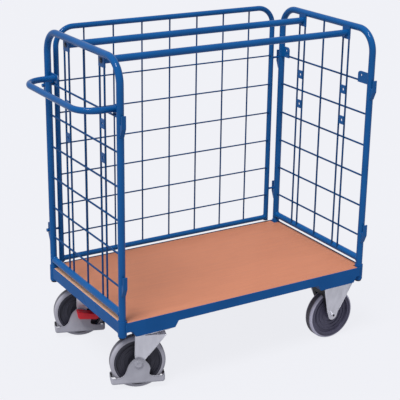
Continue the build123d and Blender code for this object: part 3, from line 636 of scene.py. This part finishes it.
def add_end_wall_welds():
    """Welds of the end walls' cross tubes, sockets, lugs and hooks."""
    socket_half = math.sqrt(SOCKET_R**2 - (END_RAIL_X - POST_X) ** 2)
    welds = Shape()
    for end in BOTH:
        for side in BOTH:
            joint = (end * POST_X, side * POST_Y, CROSS_Z)
            welds.bead(saddle(joint, (0, -side, 0), ALONG_X, TUBE_R), BEAD_R, closed=True)
            x, y = end * END_RAIL_X, side * (POST_Y - socket_half)
            welds.upright_bead(x, y, (END_RAIL_BOTTOM, RAIL_TOP), BEAD_R)
            x, y = end * LONG_RAIL_END_X, side * LONG_RAIL_Y
            welds.upright_bead(x, y, (LONG_RAIL_BOTTOM, RAIL_TOP), BEAD_R)
            welds.upright_bead(end * LUG_OUTER_X, side * LUG_WELD_Y, LUG_HEIGHTS, THIN_BEAD_R)
            for pin_z in PIN_HEIGHTS:
                heights = [pin_z + reach for reach in HOOK_WELD_REACH]
                for half in BOTH:
                    x = end * POST_X + half * HOOK_HALF
                    welds.upright_bead(x, side * HOOK_WELD_Y, heights, THIN_BEAD_R)
    welds.finish("end_wall_welds", "chassis", "blue_enamel")


def add_end_wall_wire_welds():
    """Weld nuggets at the ends and crossings of the end walls' wires."""
    levels = [LEVEL_TOP - row * LEVEL_PITCH for row in range(LEVEL_COUNT)]
    uprights = [0.0] + [side * PAIR_Y + half * PAIR_HALF for side in BOTH for half in BOTH]
    crossing_x = (UPRIGHT_X + LEVEL_X) / 2
    nuggets = Shape()
    for end in BOTH:
        for side in BOTH:
            for z in levels:
                wire_end = (end * LEVEL_X, side * (POST_Y - TUBE_R), z)
                nuggets.nugget(wire_end, ALONG_Y, WIRE_R, FLAT_NUGGET)
        for y in uprights:
            foot = (end * UPRIGHT_X, y, CROSS_Z + UPRIGHT_END_RISE)
            nuggets.nugget(foot, ALONG_Z, WIRE_R, FOOT_NUGGET)
            for z in levels:
                nuggets.nugget((end * crossing_x, y, z), ALONG_X, WIRE_R, CROSSING_NUGGET)
        top = (end * UPRIGHT_X, 0.0, HOOP_TOP - UPRIGHT_END_RISE)
        nuggets.nugget(top, ALONG_Z, WIRE_R, FOOT_NUGGET)
    nuggets.finish("end_wall_wire_welds", "chassis", "blue_enamel", MATERIALS["blue_wire"])


def add_back_wall_welds():
    """Welds of the hung back wall's bottom tube and pins."""
    welds = Shape()
    for side in BOTH:
        joint = (side * BACK_X, BACK_Y, BACK_TUBE_Z)
        welds.bead(saddle(joint, (-side, 0, 0), ALONG_Y, BACK_R), BEAD_R, closed=True)
        for pin_z in PIN_HEIGHTS:
            root = Vector((side * PIN_ROOT_X, BACK_Y, pin_z))
            ring = circle(root, Vector(ALONG_Y), Vector(ALONG_Z), PIN_WELD_R, PIN_WELD_STEPS)
            welds.bead(ring, THIN_BEAD_R, closed=True)
    welds.finish("back_wall_welds", "back_wall", "blue_enamel")


def add_back_wall_wire_welds():
    """Weld nuggets at the ends and crossings of the hung back wall's wires."""
    levels = [BACK_LEVEL_TOP - row * BACK_LEVEL_PITCH for row in range(LEVEL_COUNT)]
    crossing_y = (BACK_Y + BACK_LEVEL_Y) / 2
    nuggets = Shape()
    for side in BOTH:
        for z in levels:
            wire_end = (side * BACK_LEVEL_END_X, BACK_LEVEL_Y, z)
            nuggets.nugget(wire_end, ALONG_X, BACK_WIRE_R, TALL_NUGGET)
    for column in BACK_COLUMNS:
        x = column * BACK_UPRIGHT_PITCH
        for z in (BACK_TUBE_Z + BACK_R, HOOP_TOP - BACK_R):
            nuggets.nugget((x, BACK_Y, z), ALONG_Z, BACK_WIRE_R, FLAT_NUGGET)
        for z in levels:
            nuggets.nugget((x, crossing_y, z), ALONG_Y, BACK_WIRE_R, CROSSING_NUGGET)
    nuggets.finish("back_wall_wire_welds", "back_wall", "blue_enamel", MATERIALS["blue_wire"])


def washer(radius, bore, height):
    """Profile of a washer with a bevelled edge."""
    edge = WASHER_BEVEL * height
    return [
        (bore, 0.0), (radius, 0.0), (radius, height - edge), (radius - edge, height), (bore, height)
    ]


def add_rail_washers():
    """Dull washers under the bolt heads of the top rails."""
    x, y, z = RAIL_BOLT
    washers = Shape()
    for end in BOTH:
        for side in BOTH:
            washers.revolve((end * x, side * y, z), (end, 0, 0), washer(*RAIL_WASHER))
    washers.finish("rail_washers", "chassis", "zinc_bolts", MATERIALS["dull_bolts"])


def add_bolt_washers():
    """Washers under the bolt heads of the handle and the casters and on the fixed axles."""
    x, y, z = HANDLE_BOLT
    washers = Shape()
    for side in BOTH:
        washers.revolve((-x, side * y, z), ALONG_X, washer(*HANDLE_WASHER))
    for name in OUTWARD:
        swivel = joints[f"{name}_swivel_turn"]["pos_m"]
        fixed = joints[f"{name}_right_wheel_spin"]["pos_m"]
        for middle in (swivel, fixed):
            for across in BOTH:
                for along in BOTH:
                    x = middle[0] + along * PLATE_BOLTS[0]
                    y = middle[1] + across * PLATE_BOLTS[1]
                    washers.revolve((x, y, PLATE_BOTTOM), (0, 0, -1), washer(*CASTER_WASHER))
        for side in BOTH:
            at = (fixed[0], fixed[1] + side * FORK_OUTER, fixed[2])
            washers.revolve(at, (0, side, 0), washer(*AXLE_WASHER))
    washers.finish("bolt_washers", "chassis", "zinc_bolts")


def add_axle_shade_discs():
    """Black disc on the head of each fixed axle, painted shade standing in for a recess."""
    shade_disc = Shape()
    for name, out in OUTWARD.items():
        x, y, z = joints[f"{name}_right_wheel_spin"]["pos_m"]
        head = (x, y + out * (FORK_OUTER + AXLE_HEAD), z)
        shade_disc.revolve(head, (0, out, 0), AXLE_SHADE_DISC)
    shade_disc.finish("axle_shade_discs", "chassis", "black_plastic")


def border(mesh, chosen):
    """Edges round the polygons that are chosen, as pairs of vertex numbers."""
    uses = {}
    for polygon in mesh.polygons:
        if chosen(polygon):
            for key in polygon.edge_keys:
                uses[key] = uses.get(key, 0) + 1
    return [key for key, count in uses.items() if count == 1]


def guard_outline(node, axis, axle):
    """Points along the edge of the bell on the side of a foot guard that faces along the axis."""
    mesh = nodes[node].data
    reach = [vertex.co.dot(axis) for vertex in mesh.vertices]
    far = max(reach) - SAME_PLANE
    links = {}
    for key in border(mesh, lambda polygon: all(reach[index] > far for index in polygon.vertices)):
        ends = [mesh.vertices[index].co for index in key]
        high = all(end.z > SKIRT_TOP - SAME_HEIGHT for end in ends)
        clear = all((end - axle).cross(axis).length > AXLE_HOLE_ROOM for end in ends)
        if high and clear:
            for here, there in (key, key[::-1]):
                links.setdefault(here, []).append(there)
    line = [next(index for index, others in links.items() if len(others) == 1)]
    while onward := [index for index in links[line[-1]] if index not in line]:
        line.append(onward[0])
    return [mesh.vertices[index].co.copy() for index in line]


def add_guard_trim():
    """Raised rim along the bells of the foot guards and a cover over each axle's head."""
    for name, out in OUTWARD.items():
        joint = joints[f"{name}_left_wheel_spin"]
        axis = Vector(joint["axis"]).normalized()
        axle = Vector(joint["pos_m"])
        trim = Shape()
        for side in BOTH:
            trim.bead(guard_outline(f"{name}_foot_guard", side * axis, axle), GUARD_RIM_R)
        face = axle + out * GUARD_OUTER * axis
        trim.revolve(face, out * axis, AXLE_COVER, sides=AXLE_COVER_SIDES)
        trim.finish(f"{name}_guard_trim", f"{name}_swivel", "guard_grey")


def panel_edges(node, normal):
    """The steep edges of the panel of a pressed fork that faces along the normal."""
    mesh = nodes[node].data
    steep = []
    for key in border(mesh, lambda polygon: polygon.normal.dot(normal) > SAME_DIRECTION):
        start, end = (mesh.vertices[index].co.copy() for index in key)
        length = (end - start).length
        if abs(end.z - start.z) > STEEP_SHARE * length and length > SHORTEST_LIP:
            steep.append((start, end))
    return steep


def lip(length):
    """Profile of a thin rod with bevelled ends."""
    tip, bevel = LIP_TIP * LIP_R, LIP_BEVEL * LIP_R
    return [(tip, 0.0), (LIP_R, bevel), (LIP_R, length - bevel), (tip, length)]


def add_fork_lips():
    """Rounded lips along the sloping edges of the pressed forks' sides."""
    for name in OUTWARD:
        for kind, spin, slope, body in (
            ("swivel_fork", f"{name}_left_wheel_spin", SWIVEL_SLOPE, f"{name}_swivel"),
            ("fixed_fork", f"{name}_right_wheel_spin", FIXED_SLOPE, "chassis"),
        ):
            axis = Vector(joints[spin]["axis"]).normalized()
            lips = Shape()
            for side in BOTH:
                normal = (side * axis - slope * Vector(ALONG_Z)).normalized()
                for start, end in panel_edges(f"{name}_{kind}", normal):
                    along = end - start
                    lips.revolve(start, along, lip(along.length), sides=LIP_SIDES)
            lips.finish(f"{name}_{kind}_lips", body, "zinc_sheet")


# Surroundings
def seen_share(tree, amount):
    """The amount where the camera sees it, a share in reflections and none for other light."""
    path = tree.nodes.new("ShaderNodeLightPath").outputs
    glossy = maths(tree, "MULTIPLY", path["Is Glossy Ray"], GLOSSY_SHARE)
    seen = maths(tree, "MAXIMUM", path["Is Camera Ray"], glossy)
    return maths(tree, "MULTIPLY", seen, amount)


def add_floor():
    """Pale floor, wide enough to fill the view, which keeps a soft shadow."""
    bpy.ops.mesh.primitive_plane_add(size=FLOOR_SIDE)
    floor = bpy.context.object
    floor.name = "floor"
    material, tree, shader = new_material("floor_pale")
    shader.inputs["Base Color"].default_value = (*FLOOR_TONE, 1.0)
    shader.inputs["Roughness"].default_value = FLOOR_ROUGHNESS
    shader.inputs["Specular IOR Level"].default_value = 0.0
    glow = tree.nodes.new("ShaderNodeEmission")
    glow.inputs["Color"].default_value = (*BACKDROP, 1.0)
    mix = tree.nodes.new("ShaderNodeMixShader")
    tree.links.new(seen_share(tree, FLOOR_GLOW), mix.inputs["Fac"])
    tree.links.new(shader.outputs["BSDF"], mix.inputs[SHADER_FIRST])
    tree.links.new(glow.outputs["Emission"], mix.inputs[SHADER_SECOND])
    tree.links.new(mix.outputs["Shader"], tree.nodes["Material Output"].inputs["Surface"])
    floor.data.materials.append(material)


def add_world():
    """Even pale surroundings, at full strength where the camera sees them and weaker as light."""
    world = bpy.data.worlds.new("studio")
    world.use_nodes = True
    bpy.context.scene.world = world
    tree = world.node_tree
    background = tree.nodes["Background"]
    background.inputs["Color"].default_value = (*SURROUND, 1.0)
    strength = maths(tree, "ADD", seen_share(tree, 1.0 - WORLD_STRENGTH), WORLD_STRENGTH)
    tree.links.new(strength, background.inputs["Strength"])


def add_key_light():
    """Soft distant light from above, the left and the front."""
    light = bpy.data.lights.new("key", "SUN")
    light.energy = KEY_STRENGTH
    light.angle = math.radians(KEY_SPREAD_DEGREES)
    lamp = bpy.data.objects.new("key", light)
    lamp.rotation_euler = Vector(KEY_DIRECTION).to_track_quat("-Z", "Y").to_euler()
    bpy.context.scene.collection.objects.link(lamp)


def add_camera():
    """Camera at the photograph's place, turned by its yaw, pitch and roll."""
    camera = bpy.data.cameras.new("camera")
    camera.sensor_width = SENSOR_MM
    camera.lens = FOCAL_PIXELS * SENSOR_MM / IMAGE_SIDE
    forward = Vector((
        math.sin(CAMERA_YAW) * math.cos(CAMERA_PITCH),
        math.cos(CAMERA_YAW) * math.cos(CAMERA_PITCH),
        -math.sin(CAMERA_PITCH),
    ))
    level_right = Vector((math.cos(CAMERA_YAW), -math.sin(CAMERA_YAW), 0.0))
    level_up = level_right.cross(forward)
    right = math.cos(CAMERA_ROLL) * level_right + math.sin(CAMERA_ROLL) * level_up
    up = math.cos(CAMERA_ROLL) * level_up - math.sin(CAMERA_ROLL) * level_right
    rig = bpy.data.objects.new("camera", camera)
    turn = Matrix((right, up, -forward)).transposed().to_4x4()
    rig.matrix_world = Matrix.Translation(CAMERA_PLACE) @ turn
    bpy.context.scene.collection.objects.link(rig)
    bpy.context.scene.camera = rig


add_end_wall_welds()
add_end_wall_wire_welds()
add_back_wall_welds()
add_back_wall_wire_welds()
add_rail_washers()
add_bolt_washers()
add_axle_shade_discs()
add_guard_trim()
add_fork_lips()
add_floor()
add_world()
add_key_light()
add_camera()
bpy.context.scene.view_settings.view_transform = "Standard"
